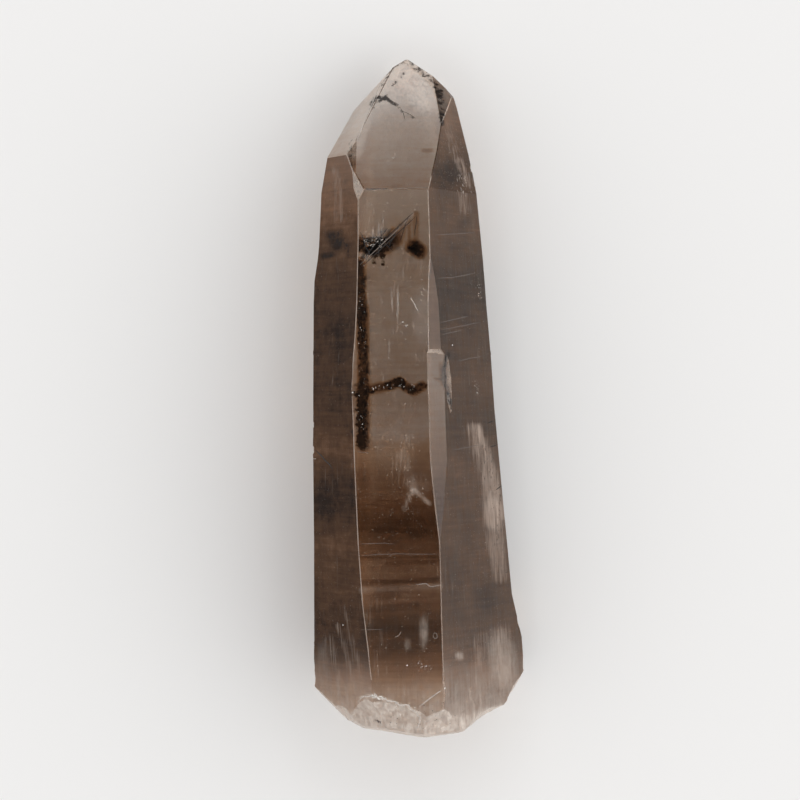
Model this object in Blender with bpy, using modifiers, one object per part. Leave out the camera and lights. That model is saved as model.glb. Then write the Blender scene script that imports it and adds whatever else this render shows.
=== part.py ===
"""A smoky quartz crystal: one natural point with a broken root, lying on its back prism face.

Run it in Blender 4.5, with blender --background --python part.py or from the text editor. The file is
in metres, and the sizes below are in millimetres. The crystal's long axis runs along Y, with the tip
at +Y. The broad top face looks up, its twin underneath lies on Z = 0, and the root is at -Y. The
origin is the middle of the crystal's box, on the surface that it rests on.

Quartz grows in one shape: six prism faces that meet at 120 degrees, closed by six faces that lean
38.2 degrees to the long axis. The file builds it in that order: the prism as a loft of six-sided
sections, flat cuts for the tip and the root, then the shell-shaped scars and chips of the break.
"""

import math
from dataclasses import dataclass

import bmesh
import bpy
from mathutils import Matrix, Vector

MM = 0.001
NODE = "smoky_quartz_crystal"

# Quartz angles
PRISM_SLOPE = math.tan(math.radians(60))
TIP_LEAN = math.radians(38.2)

# Height of the top face: it falls towards the tip
TOP_HEIGHT = 39.0
TOP_FALL = 0.071

# The narrow bright face on the right ridge takes this much of the top face for 1 mm of the side face
RIDGE_FACE_RATIO = 0.6


@dataclass(frozen=True)
class Section:
    """One cross-section of the prism, in millimetres.

    y is its place along the crystal. left and right are its outer edges, left_ridge and right_ridge
    the edges of the top face, and ridge_face how far the narrow face reaches down the right side.
    """

    y: float
    left: float
    left_ridge: float
    right_ridge: float
    right: float
    ridge_face: float = 0.0

    def corners(self):
        """The seven corners from the top left, clockwise seen from the root."""
        top = TOP_HEIGHT - TOP_FALL * self.y
        left_height = top - PRISM_SLOPE * (self.left_ridge - self.left)
        right_height = top - PRISM_SLOPE * (self.right - self.right_ridge)
        face = self.ridge_face
        return [
            Vector((self.left_ridge, self.y, top)),
            Vector((self.right_ridge - RIDGE_FACE_RATIO * face, self.y, top)),
            Vector((self.right_ridge + face, self.y, top - PRISM_SLOPE * face)),
            Vector((self.right, self.y, right_height)),
            Vector((self.right - right_height / PRISM_SLOPE, self.y, 0.0)),
            Vector((self.left + left_height / PRISM_SLOPE, self.y, 0.0)),
            Vector((self.left, self.y, left_height)),
        ]


# The prism from beyond the tip to beyond the root. It narrows in steps, as the layers of its growth did
SECTIONS = (
    Section(90.0, -18.2, -8.6, -8.0, 3.2),
    Section(70.6, -19.8, -10.6, -2.6, 9.4),
    Section(58.8, -21.7, -12.6, 0.4, 12.3),
    Section(49.3, -23.3, -14.2, 2.2, 14.2),
    Section(36.2, -23.9, -14.2, 2.6, 15.5),
    Section(33.2, -24.2, -14.3, 2.7, 15.8),
    Section(28.2, -25.0, -14.4, 2.9, 16.2, 0.9),
    Section(22.6, -25.2, -14.5, 3.1, 16.6, 1.5),
    Section(16.0, -25.2, -14.8, 3.3, 17.2, 1.7),
    Section(11.4, -25.2, -15.1, 3.4, 17.6, 1.8),
    Section(10.4, -25.2, -15.2, 3.4, 17.7, 2.5),
    Section(1.6, -25.2, -15.6, 3.7, 18.3, 2.4),
    Section(-2.7, -25.2, -15.4, 3.8, 18.6, 2.4),
    Section(-14.6, -25.2, -15.0, 4.2, 19.7, 2.4),
    Section(-25.0, -25.1, -14.5, 4.6, 20.7, 1.3),
    Section(-34.0, -25.0, -14.1, 4.9, 21.6),
    Section(-47.6, -25.0, -13.1, 5.2, 22.9),
    Section(-58.2, -25.0, -11.8, 5.5, 25.4),
    Section(-69.0, -25.1, -10.6, 5.9, 26.2),
    Section(-90.0, -25.1, -9.4, 6.4, 26.6),
)


@dataclass(frozen=True)
class TipFace:
    """One of the six faces that close the tip: a point on it, and its turn about the long axis."""

    point: tuple[float, float, float]
    turn: float

    def normal(self):
        """The outward normal. A turn of 0 faces up, and 90 faces +X."""
        turn = math.radians(self.turn)
        across = math.cos(TIP_LEAN)
        return Vector(
            (math.sin(turn) * across, math.sin(TIP_LEAN), math.cos(turn) * across)
        )


# The top one is far the largest, and starts furthest down the crystal
TIP_FACES = (
    TipFace((0.0, 49.0, 35.5), 0),
    TipFace((-21.6, 57.8, 19.6), -60),
    TipFace((-11.7, 75.3, 12.2), -120),
    TipFace((0.0, 82.7, 9.2), 180),
    TipFace((1.4, 80.0, 11.4), 120),
    TipFace((7.8, 71.9, 16.2), 60),
)


@dataclass(frozen=True)
class Facet:
    """A flat cut that takes one corner or edge off: a point on it, and its outward direction."""

    point: tuple[float, float, float]
    direction: tuple[float, float, float]

    def normal(self):
        """The outward normal."""
        return Vector(self.direction).normalized()


# Small faces beside the large top face of the tip
SMALL_FACES = (
    Facet((-13.15, 48.6, 35.45), (-0.53, 0.34, 0.78)),
    Facet((-14.9, 57.0, 29.2), (-0.37, 0.58, 0.73)),
    Facet((5.7, 65.2, 22.7), (0.46, 0.59, 0.66)),
    Facet((-5.6, 80.7, 10.7), (-0.33, 0.85, 0.42)),
)

# Flat parts of the broken root, from the left to the right and from the top down
ROOT_BREAKS = (
    Facet((-24.8, -69.2, 22.0), (-0.70, -0.70, 0.10)),
    Facet((-17.0, -75.0, 33.0), (-0.52, -0.84, 0.16)),
    Facet((-8.0, -78.2, 34.0), (-0.17, -0.97, 0.18)),
    Facet((6.0, -79.1, 34.0), (0.15, -0.98, 0.14)),
    Facet((18.4, -75.8, 24.0), (0.44, -0.89, 0.10)),
    Facet((24.0, -69.2, 14.0), (0.86, -0.50, 0.06)),
    Facet((-6.0, -78.6, 20.0), (-0.10, -0.94, -0.32)),
    Facet((10.0, -76.2, 12.0), (0.22, -0.84, -0.50)),
    Facet((-18.0, -69.0, 8.0), (-0.50, -0.66, -0.56)),
    Facet((2.0, -70.0, 2.6), (0.05, -0.60, -0.80)),
)


@dataclass(frozen=True)
class Scar:
    """A shell-shaped hollow left by a flake: its centre, direction, half sizes and depth.

    width is the half size across the crystal and length the one along it. Rings are ripples of the
    break about its centre.
    """

    name: str
    centre: tuple[float, float, float]
    direction: tuple[float, float, float]
    width: float
    length: float
    depth: float
    rings: int = 0


# Scars of the break: on the top and the sides of the root, then on its end
SCARS = (
    Scar("front_flake", (-7.4, -73.8, 43.2), (-0.10, -0.56, 0.82), 9.4, 6.9, 1.7, 3),
    Scar("front_flake_left", (-12.8, -73.2, 38.8), (-0.56, -0.56, 0.61), 5.2, 5.8, 1.1, 2),
    Scar("front_flake_right", (7.0, -75.6, 41.6), (0.28, -0.60, 0.75), 8.4, 5.4, 1.2, 2),
    Scar("left_flake", (-20.4, -73.0, 29.0), (-0.66, -0.62, 0.42), 6.8, 5.4, 0.9, 2),
    Scar("right_flake", (18.6, -74.9, 22.0), (0.46, -0.85, 0.24), 7.6, 6.2, 0.7, 2),
    Scar("right_corner", (24.4, -68.8, 13.0), (0.84, -0.52, 0.14), 4.6, 4.0, 0.4),
    Scar("root_shell", (-4.0, -78.8, 22.0), (-0.06, -0.99, -0.12), 17.0, 13.0, 2.4, 4),
    Scar("root_shell_right", (12.0, -75.6, 14.0), (0.30, -0.86, -0.40), 12.0, 9.0, 1.8, 3),
    Scar("root_shell_left", (-16.6, -70.6, 9.0), (-0.48, -0.72, -0.50), 10.0, 8.0, 1.5, 2),
    Scar("root_heel", (4.0, -68.6, 2.6), (0.05, -0.62, -0.78), 12.0, 6.0, 1.2, 2),
)

# Small chips on the edges, where the crystal has been knocked
CHIPS = (
    Scar("ridge_chip", (6.5, 4.8, 33.0), (0.97, 0.0, 0.26), 1.0, 5.6, 0.55),
    Scar("upper_notch", (12.9, 55.6, 14.8), (0.98, 0.10, 0.0), 1.0, 1.1, 0.45),
    Scar("upper_notch_low", (13.9, 51.6, 15.2), (0.98, 0.10, 0.0), 0.9, 0.9, 0.4),
    Scar("left_nick", (-25.2, -6.4, 22.4), (-1.0, 0.0, 0.1), 0.8, 1.0, 0.35),
    Scar("left_nick_low", (-25.2, -12.4, 22.6), (-1.0, 0.0, 0.1), 1.0, 1.2, 0.4),
    Scar("left_ridge_nick", (-15.9, 1.7, 38.8), (-0.5, 0.0, 0.87), 0.5, 1.0, 0.22),
    Scar("tip_nick", (5.1, 72.2, 17.0), (0.5, 0.5, 0.7), 0.5, 0.7, 0.2),
    Scar("left_edge_chip", (-25.1, -60.0, 20.4), (-1.0, 0.0, 0.1), 0.8, 2.0, 0.25),
    Scar("right_edge_chip", (24.4, -54.0, 9.9), (1.0, 0.0, 0.1), 0.8, 2.4, 0.3),
    Scar("lower_right_nick", (8.8, 20.0, 0.1), (0.6, 0.0, -0.8), 0.8, 2.4, 0.3),
    Scar("lower_left_nick", (-12.3, -20.0, 0.1), (-0.6, 0.0, -0.8), 0.9, 3.2, 0.35),
    Scar("lower_tip_nick", (-2.0, 66.0, 0.2), (0.2, 0.5, -0.84), 2.2, 1.2, 0.35),
)

# A cutter's arc rises this far over the face before its straight wall begins
SCAR_ARC_RISE = 3.2
CHIP_ARC_RISE = 0.8

# Height of that wall's top, how finely a cutter is turned, and how high a ripple stands
WALL_TOP = 9.0
SCAR_STEPS = 13
SCAR_SPOKES = 30
CHIP_STEPS = 3
CHIP_SPOKES = 10
RIPPLE_HEIGHT = 0.12

CLOSE = 1e-7


def clear_scene():
    """Removes every object that the file opened with."""
    for item in list(bpy.data.objects):
        bpy.data.objects.remove(item, do_unlink=True)


def new_collection(name):
    """A collection linked to the scene."""
    collection = bpy.data.collections.new(name)
    bpy.context.scene.collection.children.link(collection)
    return collection


def smoky_quartz():
    """Clear brown quartz with a slight satin."""
    material = bpy.data.materials.new("smoky_quartz")
    material.use_nodes = True
    shader = material.node_tree.nodes["Principled BSDF"]
    shader.inputs["Base Color"].default_value = (0.16, 0.09, 0.055, 1.0)
    shader.inputs["Roughness"].default_value = 0.12
    shader.inputs["Metallic"].default_value = 0.0
    shader.inputs["IOR"].default_value = 1.544
    shader.inputs["Transmission Weight"].default_value = 0.6
    return material


def loft_prism(bm):
    """The closed prism through all the sections."""
    rings = [
        [bm.verts.new(corner * MM) for corner in section.corners()]
        for section in SECTIONS
    ]
    count = len(rings[0])
    for ring, following in zip(rings, rings[1:]):
        for i in range(count):
            j = (i + 1) % count
            bm.faces.new((ring[i], ring[j], following[j], following[i]))
    bm.faces.new(reversed(rings[0]))
    bm.faces.new(rings[-1])
    bmesh.ops.remove_doubles(bm, verts=bm.verts, dist=CLOSE)
    bmesh.ops.dissolve_degenerate(bm, edges=bm.edges, dist=CLOSE)


def cut_flat(bm, point, normal):
    """Takes off what lies beyond a plane, and closes the cut with one flat face."""
    everything = list(bm.verts) + list(bm.edges) + list(bm.faces)
    made = bmesh.ops.bisect_plane(
        bm,
        geom=everything,
        dist=CLOSE,
        plane_co=Vector(point) * MM,
        plane_no=normal,
        clear_outer=True,
    )
    rim = [e for e in made["geom_cut"] if isinstance(e, bmesh.types.BMEdge)]
    if rim:
        bmesh.ops.contextual_create(bm, geom=rim)


def crystal_mesh():
    """The crystal before its scars: prism, tip and flat root."""
    bm = bmesh.new()
    loft_prism(bm)
    for face in TIP_FACES + SMALL_FACES + ROOT_BREAKS:
        cut_flat(bm, face.point, face.normal())
    bmesh.ops.remove_doubles(bm, verts=bm.verts, dist=CLOSE)
    bmesh.ops.recalc_face_normals(bm, faces=bm.faces)
    mesh = bpy.data.meshes.new(NODE)
    bm.to_mesh(mesh)
    bm.free()
    return mesh


def scar_profile(scar, steps, arc_rise):
    """Half the outline of a scar's cutter, from the top of its axis out, down and back to the axis.

    Its lower side is an arc that meets the face at the scar's length and goes one depth below it.
    """
    radius = (scar.length**2 + scar.depth**2) / (2 * scar.depth)
    widest = math.acos(max(1 - (arc_rise + scar.depth) / radius, 0.0))
    profile = [(0.0, WALL_TOP), (radius * math.sin(widest), WALL_TOP)]
    for i in range(steps):
        angle = widest * (1 - i / steps)
        height = radius * (1 - math.cos(angle)) - scar.depth
        if scar.rings:
            fade = math.sin(math.pi * i / steps)
            height += RIPPLE_HEIGHT * fade * math.cos(math.tau * scar.rings * i / steps)
        profile.append((radius * math.sin(angle), height))
    profile.append((0.0, -scar.depth))
    return profile


def facing(direction):
    """The rotation whose Z is the direction, and whose Y lies along the crystal where it can."""
    out = Vector(direction).normalized()
    long_axis = Vector((0, 1, 0)) if abs(out.y) < 0.9 else Vector((0, 0, 1))
    across = long_axis.cross(out).normalized()
    along = out.cross(across)
    return Matrix((across, along, out)).transposed().to_quaternion()


def scar_cutter(scar, profile, spokes, collection):
    """The turned solid that cuts one scar, with its axis along the scar's direction."""
    bm = bmesh.new()
    points = [bm.verts.new((out * MM, 0.0, height * MM)) for out, height in profile]
    for above, below in zip(points, points[1:]):
        bm.edges.new((above, below))
    mesh = bpy.data.meshes.new(scar.name + "_cutter")
    bm.to_mesh(mesh)
    bm.free()
    cutter = bpy.data.objects.new(scar.name + "_cutter", mesh)
    turned = cutter.modifiers.new("turned", "SCREW")
    turned.steps = turned.render_steps = spokes
    turned.use_merge_vertices = True
    turned.merge_threshold = 1e-6
    cutter.rotation_mode = "QUATERNION"
    cutter.rotation_quaternion = facing(scar.direction)
    cutter.location = Vector(scar.centre) * MM
    cutter.scale = (scar.width / scar.length, 1.0, 1.0)
    cutter.hide_render = True
    cutter.display_type = "WIRE"
    collection.objects.link(cutter)
    return cutter


def add_cut(crystal, cutter):
    """Takes the cutter out of the crystal."""
    cut = crystal.modifiers.new(cutter.name, "BOOLEAN")
    cut.operation = "DIFFERENCE"
    cut.solver = "EXACT"
    cut.object = cutter


def centre_on_origin(frame, crystal):
    """Moves the whole model so that the origin is the middle of its box, at the bottom."""
    bpy.context.view_layer.update()
    solid = crystal.evaluated_get(bpy.context.evaluated_depsgraph_get())
    mesh = solid.to_mesh()
    corners = [solid.matrix_world @ vertex.co for vertex in mesh.vertices]
    solid.to_mesh_clear()
    for axis in (0, 1):
        low = min(corner[axis] for corner in corners)
        high = max(corner[axis] for corner in corners)
        frame.location[axis] = -(low + high) / 2
    bpy.context.view_layer.update()


def main():
    """Builds the crystal."""
    clear_scene()
    parts = new_collection("smoky_quartz_crystal")
    cutters = new_collection("cutters")
    frame = bpy.data.objects.new("crystal_frame", None)
    parts.objects.link(frame)
    mesh = crystal_mesh()
    mesh.materials.append(smoky_quartz())
    crystal = bpy.data.objects.new(NODE, mesh)
    crystal.parent = frame
    parts.objects.link(crystal)
    for scars, steps, arc_rise, spokes in (
        (SCARS, SCAR_STEPS, SCAR_ARC_RISE, SCAR_SPOKES),
        (CHIPS, CHIP_STEPS, CHIP_ARC_RISE, CHIP_SPOKES),
    ):
        for scar in scars:
            profile = scar_profile(scar, steps, arc_rise)
            cutter = scar_cutter(scar, profile, spokes, cutters)
            cutter.parent = frame
            add_cut(crystal, cutter)
    centre_on_origin(frame, crystal)


main()
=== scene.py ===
"""The looks of a smoky quartz crystal: one clear brown point with a broken root, lying on its back face.

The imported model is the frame, in metres, with the tip at +Y. The crystal's skin is a fine mesh cut
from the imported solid, with bevelled edges and growth lines. Its brown, its milk and its marks are
qualities of that skin, and its smallest flaws are thin pieces on it or just under it. Sizes here are
in millimetres unless a name says otherwise, and MM turns them to metres. A mark is placed by where
the camera sees it, on the level plane through the crystal's middle.
"""

import logging
import math
from dataclasses import dataclass
from enum import Enum

import bmesh
import bpy
import numpy as np
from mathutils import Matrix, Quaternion, Vector, noise
from mathutils.bvhtree import BVHTree

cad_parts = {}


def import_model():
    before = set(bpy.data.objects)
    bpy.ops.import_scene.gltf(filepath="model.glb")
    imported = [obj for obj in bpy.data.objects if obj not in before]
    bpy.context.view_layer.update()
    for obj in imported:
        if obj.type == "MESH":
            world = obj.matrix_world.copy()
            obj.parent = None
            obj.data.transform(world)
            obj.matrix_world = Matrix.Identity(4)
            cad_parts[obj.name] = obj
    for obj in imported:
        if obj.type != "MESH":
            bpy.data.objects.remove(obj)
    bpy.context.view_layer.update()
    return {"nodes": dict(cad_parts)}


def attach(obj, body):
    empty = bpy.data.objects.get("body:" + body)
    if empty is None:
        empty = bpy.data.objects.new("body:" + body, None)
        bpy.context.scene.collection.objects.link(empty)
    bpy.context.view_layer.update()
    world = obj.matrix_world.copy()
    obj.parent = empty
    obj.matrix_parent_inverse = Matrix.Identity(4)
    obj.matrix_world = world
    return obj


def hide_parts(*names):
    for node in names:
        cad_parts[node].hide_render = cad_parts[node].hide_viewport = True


MM = 0.001
NODE = "smoky_quartz_crystal"
BODY = "root"

# The camera's place, and the height of the level plane on which marks are measured
EYE = (-4.771, -1.771, 670.0)
MIDDLE_HEIGHT = 20.0

# A face belongs to the side whose direction is within this angle of its own
NEAR_DEG = 14.0

# Below this place on the long axis, a face that is no grown face is part of the break
BREAK_TOP = -66.0

# A mark is full up to this share of the way from its middle to its rim, and fades from there
FULL_SHARE = 0.35

# The mix node's sockets, whose names repeat: the share, two numbers, two colours, and the mixed colour
SHARE, NUMBER_A, NUMBER_B, COLOUR_A, COLOUR_B = 0, 2, 3, 6, 7
MIXED_COLOUR = 2

Pair = tuple[float, float]
Course = tuple[Pair, ...]
Size = tuple[float, float, float]
Shape = tuple[list[Vector], list[tuple[int, ...]]]

log = logging.getLogger("smoky_quartz_crystal")


def linear(colour: str) -> tuple[float, float, float, float]:
    """Turns an sRGB hex colour to linear light.

    Args:
        colour: Six hex digits, with or without a leading #.

    Returns:
        Red, green, blue and an alpha of 1.
    """
    digits = colour.lstrip("#")
    channels = [int(digits[i : i + 2], 16) / 255 for i in (0, 2, 4)]
    light = [c / 12.92 if c <= 0.04045 else ((c + 0.055) / 1.055) ** 2.4 for c in channels]
    return (light[0], light[1], light[2], 1.0)


def add_node(
    tree: bpy.types.NodeTree, kind: str, inputs: dict | None = None, **settings: object
) -> bpy.types.Node:
    """Adds one node with its settings, values and links.

    Args:
        tree: The node tree that the node goes into.
        kind: The node's type, such as ShaderNodeMix.
        inputs: Values, output sockets or nodes, by the name or number of the input. A node stands
            for its first output.
        **settings: Properties of the node itself.

    Returns:
        The new node.
    """
    node = tree.nodes.new(kind)
    for name, value in settings.items():
        setattr(node, name, value)
    for key, value in (inputs or {}).items():
        if isinstance(value, bpy.types.Node):
            value = value.outputs[0]
        if isinstance(value, bpy.types.NodeSocket):
            tree.links.new(value, node.inputs[key])
        else:
            node.inputs[key].default_value = value
    return node


def new_material(name: str) -> tuple[bpy.types.Material, bpy.types.NodeTree]:
    """Makes a material with an empty node tree.

    Args:
        name: The real material.

    Returns:
        The material and its tree.
    """
    material = bpy.data.materials.new(name)
    material.use_nodes = True
    material.node_tree.nodes.clear()
    return material, material.node_tree


def read(items: bpy.types.bpy_prop_collection, name: str, width: int = 1, kind: type = float) -> np.ndarray:
    """Reads one property of all a mesh's points, corners or faces.

    Args:
        items: The points, corners or faces.
        name: The property.
        width: How many numbers each one has.
        kind: The type of the numbers.

    Returns:
        The numbers, with one row an item where width is more than 1.
    """
    values = np.zeros(len(items) * width, kind)
    items.foreach_get(name, values)
    return values.reshape(-1, width) if width > 1 else values


class Side(Enum):
    """The crystal's faces, each by the direction that it looks in."""

    TOP = (0.0, 0.07, 1.0)
    LEFT = (-0.87, 0.0, 0.5)
    RIGHT = (0.87, 0.0, 0.5)
    RIDGE = (0.735, 0.0, 0.68)
    LOWER_LEFT = (-0.87, 0.0, -0.5)
    LOWER_RIGHT = (0.87, 0.0, -0.5)
    BOTTOM = (0.0, 0.0, -1.0)
    TIP_TOP = (0.0, 0.618, 0.786)
    TIP_LEFT = (-0.68, 0.618, 0.393)
    TIP_RIGHT = (0.68, 0.618, 0.393)
    LEFT_SLIVER = (-0.37, 0.58, 0.73)
    RIGHT_SLIVER = (0.46, 0.59, 0.66)
    TIP_SLIVER = (-0.33, 0.85, 0.42)
    LEFT_RHOMB = (-0.53, 0.34, 0.78)
    RIGHT_SHOULDER = (0.845, 0.23, 0.485)
    CHIP = (0.33, -0.05, 0.94)
    CHIP_END = (0.16, 0.23, 0.96)

    @classmethod
    def shares(cls, normals: np.ndarray) -> dict["Side", np.ndarray]:
        """Which face each normal belongs to: the nearest one that is within NEAR_DEG.

        Args:
            normals: One unit normal a row.

        Returns:
            For each side, 1 where a normal is its own and 0 elsewhere.
        """
        directions = np.array([side.value for side in cls])
        directions /= np.linalg.norm(directions, axis=1)[:, None]
        likeness = normals @ directions.T
        nearest = np.argmax(likeness, axis=1)
        near = np.max(likeness, axis=1) > math.cos(math.radians(NEAR_DEG))
        return {side: ((nearest == i) & near).astype(float) for i, side in enumerate(cls)}


def soft_step(low: float, high: float, value: np.ndarray) -> np.ndarray:
    """A smooth step from 0 at low to 1 at high.

    Args:
        low: Where it starts.
        high: Where it ends. It may be below low, for a falling step.
        value: The numbers to step.

    Returns:
        Numbers from 0 to 1.
    """
    t = np.clip((value - low) / (high - low), 0.0, 1.0)
    return t * t * (3 - 2 * t)


def seen(points: np.ndarray) -> np.ndarray:
    """Where the camera sees points, on the level plane through the crystal's middle.

    Args:
        points: One point a row, in millimetres.

    Returns:
        Millimetres to the right of and above the middle of the view.
    """
    reach = (EYE[2] - MIDDLE_HEIGHT) / (EYE[2] - points[:, 2])
    return (points[:, :2] - np.array(EYE[:2])) * reach[:, None]


@dataclass(frozen=True)
class Tone:
    """How a quality changes along one face, from the tip to the root.

    stops are pairs of a place, in millimetres above the middle of the view, and the quality there.
    """

    side: Side
    stops: Course

    def at(self, places: np.ndarray) -> np.ndarray:
        """The quality at each seen place, one a row."""
        heights, values = zip(*sorted(self.stops))
        return np.interp(places[:, 1], heights, values)


@dataclass(frozen=True)
class Patch:
    """A soft oval of more or less of a quality: its middle and half sizes as seen, and its turn."""

    side: Side
    across: float
    up: float
    half_width: float
    half_height: float
    amount: float
    turn: float = 0.0

    def at(self, places: np.ndarray) -> np.ndarray:
        """The patch's amount at each seen place, one a row. It fades to 0 at the patch's rim."""
        turn = math.radians(self.turn)
        x, y = places[:, 0] - self.across, places[:, 1] - self.up
        along = (x * math.cos(turn) + y * math.sin(turn)) / self.half_width
        over = (y * math.cos(turn) - x * math.sin(turn)) / self.half_height
        return self.amount * soft_step(1.0, FULL_SHARE, np.hypot(along, over))


@dataclass(frozen=True)
class Stroke:
    """A soft line of a quality, along the seen places that it passes, on one side or on them all."""

    course: Course
    half_width: float
    amount: float
    side: Side | None = None

    def at(self, places: np.ndarray) -> np.ndarray:
        """The line's amount at each seen place, one a row. It fades to 0 at the line's rim."""
        course = np.array(self.course, float)
        nearest = np.full(len(places), np.inf)
        for start, end in zip(course, course[1:]):
            leg = end - start
            way = np.clip((places - start) @ leg / (leg @ leg), 0.0, 1.0)
            off = np.linalg.norm(places - start - way[:, None] * leg, axis=1)
            nearest = np.minimum(nearest, off)
        return self.amount * soft_step(self.half_width, self.half_width * FULL_SHARE, nearest)


@dataclass(frozen=True)
class Quality:
    """One quality of the skin: how much of it each face has, and the marks that add to it."""

    name: str
    tones: tuple[Tone, ...] = ()
    marks: tuple[Patch | Stroke, ...] = ()

    def on(self, shares: dict[Side, np.ndarray], facing: np.ndarray, places: np.ndarray) -> np.ndarray:
        """How much of the quality each corner has.

        Args:
            shares: Which side each corner belongs to.
            facing: Whether its face looks up.
            places: Its seen place.

        Returns:
            The amounts.
        """
        amount = np.zeros(len(places))
        for tone in self.tones:
            amount = amount + shares[tone.side] * tone.at(places)
        for mark in self.marks:
            share = shares[mark.side] if mark.side else facing
            amount = amount + share * mark.at(places) * (1 - amount)
        return amount


# Where the brown lies under each face, from the tip to the root
SMOKE_TONES = (
    Tone(Side.TOP, ((48, 0), (40, 0.05), (30, 0.08), (17, 0.02), (10, 0.07), (0, 0.12), (-8, 0.16),
                    (-17, 0.5), (-24, 0.56), (-29, 0.76), (-33, 0.7), (-38, 0.56), (-46, 0.54),
                    (-50, 0.66), (-54, 0.84), (-60, 0.75), (-67, 0.5))),
    Tone(Side.RIDGE, ((48, 0.6), (32, 0.6), (29, 0.46), (13, 0.4), (11, 0.14), (-2, 0.25), (-14, 0.32),
                      (-20, 0.45), (-26, 0.6), (-60, 0.6), (-68, 0.3))),
    Tone(Side.LEFT, ((58, 0.66), (48, 0.7), (40, 0.8), (24, 0.88), (12, 0.92), (0, 0.9), (-6, 0.85),
                     (-12, 0.77), (-18, 0.88), (-24, 0.97), (-28, 0.9), (-34, 0.78), (-48, 0.84),
                     (-58, 0.92), (-62, 0.84), (-67, 0.6), (-72, 0.45))),
    Tone(Side.RIGHT, ((50, 0.86), (44, 0.82), (40, 0.84), (28, 0.98), (16, 0.92), (5, 0.84), (-5, 0.92),
                      (-17, 0.82), (-29, 0.84), (-38, 0.83), (-48, 0.87), (-58, 0.84), (-66, 0.7))),
    Tone(Side.RIGHT_SHOULDER, ((76, 0.76), (66, 0.76), (62, 0.78), (59, 0.84), (54, 0.96), (50, 0.86))),
    Tone(Side.CHIP, ((12, 0.2), (0, 0.3))),
    Tone(Side.CHIP_END, ((12, 0.85), (0, 0.95))),
    Tone(Side.LOWER_LEFT, ((80, 0.05), (56, 0.2), (46, 0.3), (36, 0.34), (-14, 0.34), (-24, 0.6),
                           (-70, 0.6))),
    Tone(Side.LOWER_RIGHT, ((80, 0.05), (60, 0.12), (50, 0.3), (34, 0.5), (31, 0.95), (24, 1), (-62, 1),
                            (-68, 0.7))),
    Tone(Side.TIP_TOP, ((80, 0), (72, 0), (66, 0.07), (58, 0.1), (54, 0.2), (50, 0.32))),
    Tone(Side.TIP_LEFT, ((80, 0), (66, 0.1), (56, 0.25))),
    Tone(Side.TIP_RIGHT, ((80, 0.6), (56, 0.7))),
    Tone(Side.LEFT_SLIVER, ((80, 0.7), (60, 0.78), (54, 0.6))),
    Tone(Side.LEFT_RHOMB, ((80, 0.1), (40, 0.1), (20, 0.7), (-10, 0.7))),
    Tone(Side.RIGHT_SLIVER, ((80, 0.75), (70, 0.8), (50, 0.95))),
    Tone(Side.TIP_SLIVER, ((90, 0.7), (70, 0.7))),
)

# Where fine flaws make the stone milky
MILK_TONES = (
    Tone(Side.TIP_TOP, ((82, 1), (78, 0.85), (74, 0.5), (68, 0.16), (60, 0.03), (50, 0))),
    Tone(Side.TIP_LEFT, ((80, 0.8), (70, 0.36), (58, 0.22))),
    Tone(Side.LEFT_RHOMB, ((80, 0.4), (40, 0.4), (20, 0.05), (-10, 0.05))),
    Tone(Side.TOP, ((50, 0.04), (40, 0), (0, 0), (-6, 0.06), (-18, 0.05), (-26, 0), (-40, 0.03),
                    (-48, 0.06), (-62, 0.06), (-67, 0.12), (-70, 0.32), (-74, 0.5))),
    Tone(Side.RIDGE, ((29, 0.05), (12, 0.06), (10, 0.14), (-4, 0.12), (-20, 0.05), (-26, 0))),
    Tone(Side.CHIP, ((12, 0.4), (0, 0.3))),
    Tone(Side.RIGHT_SLIVER, ((80, 0.2), (72, 0.16), (66, 0.03))),
    Tone(Side.LEFT_SLIVER, ((80, 0.03), (50, 0.03))),
    Tone(Side.LEFT, ((60, 0.06), (44, 0), (-54, 0), (-62, 0.02), (-68, 0.12), (-76, 0.4))),
    Tone(Side.RIGHT, ((60, 0.05), (40, 0.05), (-40, 0.05), (-52, 0.05), (-62, 0.08), (-69, 0.26),
                      (-78, 0.5))),
    Tone(Side.RIGHT_SHOULDER, ((76, 0.1), (60, 0.03), (50, 0.02))),
)

# How far growth and etching have turned the skin from polished to satin
SATIN_TONES = (
    Tone(Side.RIGHT, ((60, 0.9), (-40, 1), (-70, 1))),
    Tone(Side.RIGHT_SHOULDER, ((76, 0.9), (50, 0.9))),
    Tone(Side.LEFT, ((60, 0.9), (-70, 1))),
    Tone(Side.TOP, ((50, 0.8), (-50, 0.85), (-66, 0.95))),
    Tone(Side.RIDGE, ((50, 0.8), (-60, 0.8))),
    Tone(Side.TIP_TOP, ((82, 0.9), (60, 0.8))),
    Tone(Side.TIP_LEFT, ((82, 0.9), (60, 0.85))),
    Tone(Side.TIP_RIGHT, ((82, 0.85), (60, 0.85))),
    Tone(Side.LOWER_LEFT, ((82, 0.5), (-70, 0.8))),
    Tone(Side.LOWER_RIGHT, ((82, 0.5), (-70, 0.8))),
    Tone(Side.BOTTOM, ((82, 0.3), (-70, 0.3))),
)

# How much light turns back just under the skin, from flaws too fine to see
HAZE_TONES = (
    Tone(Side.LEFT, ((60, 0.5), (40, 0.68), (-60, 0.68), (-70, 0.4))),
    Tone(Side.RIGHT, ((60, 0.55), (-60, 0.55), (-70, 0.4))),
    Tone(Side.RIGHT_SHOULDER, ((76, 0.5), (50, 0.6))),
    Tone(Side.LEFT_SLIVER, ((80, 0.3), (50, 0.3))),
    Tone(Side.RIGHT_SLIVER, ((80, 0.6), (50, 0.7))),
    Tone(Side.TIP_LEFT, ((80, 0.1), (50, 0.2))),
    Tone(Side.TOP, ((50, 0.04), (-20, 0.06), (-44, 0.12), (-60, 0.25), (-66, 0.2))),
    Tone(Side.TIP_TOP, ((80, 0.05), (50, 0.05))),
)

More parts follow.
